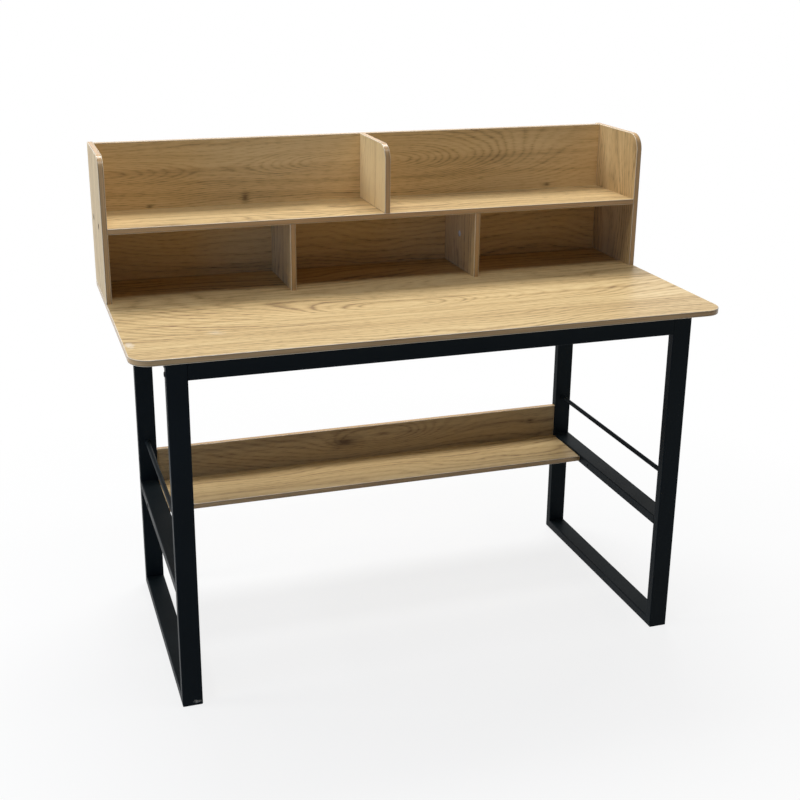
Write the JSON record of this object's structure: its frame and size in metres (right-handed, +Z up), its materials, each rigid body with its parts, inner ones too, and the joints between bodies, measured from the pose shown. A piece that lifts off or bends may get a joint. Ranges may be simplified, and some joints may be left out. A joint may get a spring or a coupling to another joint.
{
  "type": "desk with shelves",
  "caption": "Writing desk with an open shelf hutch on its back edge and a low foot shelf, light oak boards on welded black tube frames.",
  "frame": {"origin": "on the floor, under the middle of the desktop", "axes": "+X to the right of someone sitting at the desk, +Y to the back, towards the hutch, +Z up"},
  "size_m": [1.2, 0.6, 1.03],
  "materials": {
    "oak_laminate": "light oak laminate, satin",
    "black_frame": "black powder coat, satin",
    "black_fasteners": "black oxide, satin",
    "zinc_fasteners": "zinc plated",
    "beech": "raw fluted beech",
    "glide_plastic": "matte"
  },
  "bodies": {
    "root": {"desktop": "oak_laminate", "hutch_left_side": "oak_laminate", "hutch_right_side": "oak_laminate", "hutch_shelf": "oak_laminate", "hutch_left_divider": "oak_laminate", "hutch_right_divider": "oak_laminate", "hutch_upper_divider": "oak_laminate", "hutch_back_panel": "oak_laminate", "lower_shelf": "oak_laminate", "lower_back_board": "oak_laminate", "left_front_post": "black_frame", "right_front_post": "black_frame", "left_back_post": "black_frame", "right_back_post": "black_frame", "left_floor_runner": "black_frame", "right_floor_runner": "black_frame", "left_top_rail": "black_frame", "right_top_rail": "black_frame", "left_mid_rail": "black_frame", "right_mid_rail": "black_frame", "left_guard_rod": "black_frame", "right_guard_rod": "black_frame", "front_apron": "black_frame", "rear_apron": "black_frame", "apron_end_plates": "black_frame", "apron_bolts": "black_fasteners", "shelf_end_screws": "black_fasteners", "lower_shelf_screws": "black_fasteners", "back_panel_screws": "black_fasteners", "lower_rear_screws": "black_fasteners", "desktop_screws": "zinc_fasteners", "hutch_base_screws": "zinc_fasteners", "upper_divider_screws": "zinc_fasteners", "divider_bolts": "zinc_fasteners", "barrel_nuts": "zinc_fasteners", "wood_dowels": "beech", "floor_glides": "glide_plastic"}
  },
  "joints": []
}
